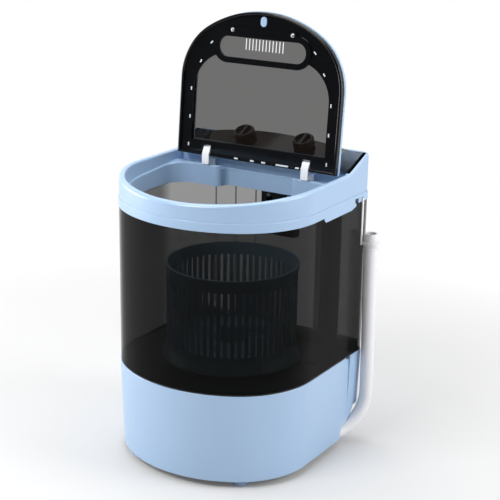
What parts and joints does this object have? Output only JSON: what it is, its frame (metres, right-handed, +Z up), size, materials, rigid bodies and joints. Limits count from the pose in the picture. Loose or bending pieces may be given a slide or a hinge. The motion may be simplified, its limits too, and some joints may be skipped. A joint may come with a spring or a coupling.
{
  "type": "portable washing machine",
  "caption": "Portable single-tub washer with a smoked tub, hinged window lid, spin basket, two knobs and a side drain hose.",
  "frame": {"origin": "middle of the body's footprint on the floor", "axes": "+X to the right, -Y to the bowed front, +Y to the console and hinge, +Z up; the lid stands open"},
  "size_m": [0.3885, 0.3516, 0.7545],
  "materials": {
    "pale_blue_shell": "satin moulded plastic",
    "white_plastic": "matte",
    "dark_plastic": "matte",
    "gloss_black": "glossy",
    "smoked_plastic": "clear smoked",
    "smoked_window": "clear smoked",
    "basket_plastic": "satin",
    "rubber_black": "matte",
    "rubber_blue": "matte",
    "hose_grey": "satin",
    "steel": "brushed",
    "alloy": "cast",
    "motor_steel": "painted"
  },
  "bodies": {
    "machine": {"base_housing": "pale_blue_shell", "bottom_plate": "dark_plastic", "bottom_screws": "steel", "feet": "rubber_blue", "tub_seal": "rubber_black", "tub_shell": "smoked_plastic", "tub_floor": "dark_plastic", "floor_screws": "steel", "channel_cover": "pale_blue_shell", "wiring_loom": "rubber_black", "top_cover": "pale_blue_shell", "hinge_posts": "pale_blue_shell", "post_screws": "steel", "console_housing": "pale_blue_shell", "console_screws": "steel", "control_panel": "gloss_black", "timer_unit": "white_plastic", "selector_switch": "white_plastic", "bearing_housing": "alloy", "housing_screws": "steel", "upper_bearing": "steel", "lower_bearing": "steel", "shaft_seal": "rubber_black", "drive_belt": "rubber_black", "motor": "motor_steel", "motor_bracket": "steel", "motor_bushes": "rubber_black", "motor_screws": "steel", "capacitor": "white_plastic", "terminal_block": "white_plastic", "cable_gland": "dark_plastic", "drain_outlet": "rubber_black", "drain_hose": "hose_grey", "hose_cuff": "hose_grey", "hose_strap": "white_plastic", "overflow_filter": "dark_plastic", "filter_screws": "steel"},
    "lid": {"lid_shell": "pale_blue_shell", "lid_liner": "gloss_black", "lid_window": "smoked_window", "lid_vent_bezel": "gloss_black", "lid_screws": "steel", "lid_snaps": "white_plastic", "lid_catch": "pale_blue_shell", "hinge_pins": "steel"},
    "timer_dial": {"timer_knob": "gloss_black"},
    "selector_dial": {"selector_knob": "gloss_black"},
    "drive": {"drive_shaft": "steel", "driven_pulley": "alloy", "pulley_nut": "steel", "pulsator": "basket_plastic", "pulsator_screw": "steel"},
    "basket": {"spin_basket": "basket_plastic"},
    "motor_rotor": {"motor_shaft": "steel", "motor_pulley": "alloy"}
  },
  "joints": [
    {"name": "lid_hinge", "type": "hinge", "parent": "machine", "child": "lid", "pos_m": [0, 0.097, 0.50027], "axis": [1, 0, 0], "range_deg": [0, 99.2]},
    {"name": "timer_turn", "type": "hinge", "parent": "machine", "child": "timer_dial", "pos_m": [-0.054, 0.14895, 0.51453], "axis": [0, -0.4384, 0.8988], "range_deg": [-300, 0]},
    {"name": "selector_turn", "type": "hinge", "parent": "machine", "child": "selector_dial", "pos_m": [0.066, 0.14895, 0.51453], "axis": [0, -0.4384, 0.8988], "range_deg": [-60, 60]},
    {"name": "drive_spin", "type": "hinge", "parent": "machine", "child": "drive", "pos_m": [0, 0.0186, 0.2], "axis": [0, 0, 1], "continuous": true},
    {"name": "basket_lift", "type": "slide", "parent": "drive", "child": "basket", "axis": [0, 0, 1], "range_m": [0, 0.1]},
    {"name": "motor_spin", "type": "hinge", "parent": "machine", "child": "motor_rotor", "pos_m": [0, -0.0874, 0.1], "axis": [0, 0, 1], "continuous": true}
  ],
  "couplings": [
    {"joint": "drive_spin", "follows": "motor_spin", "ratio": 0.21154}
  ]
}
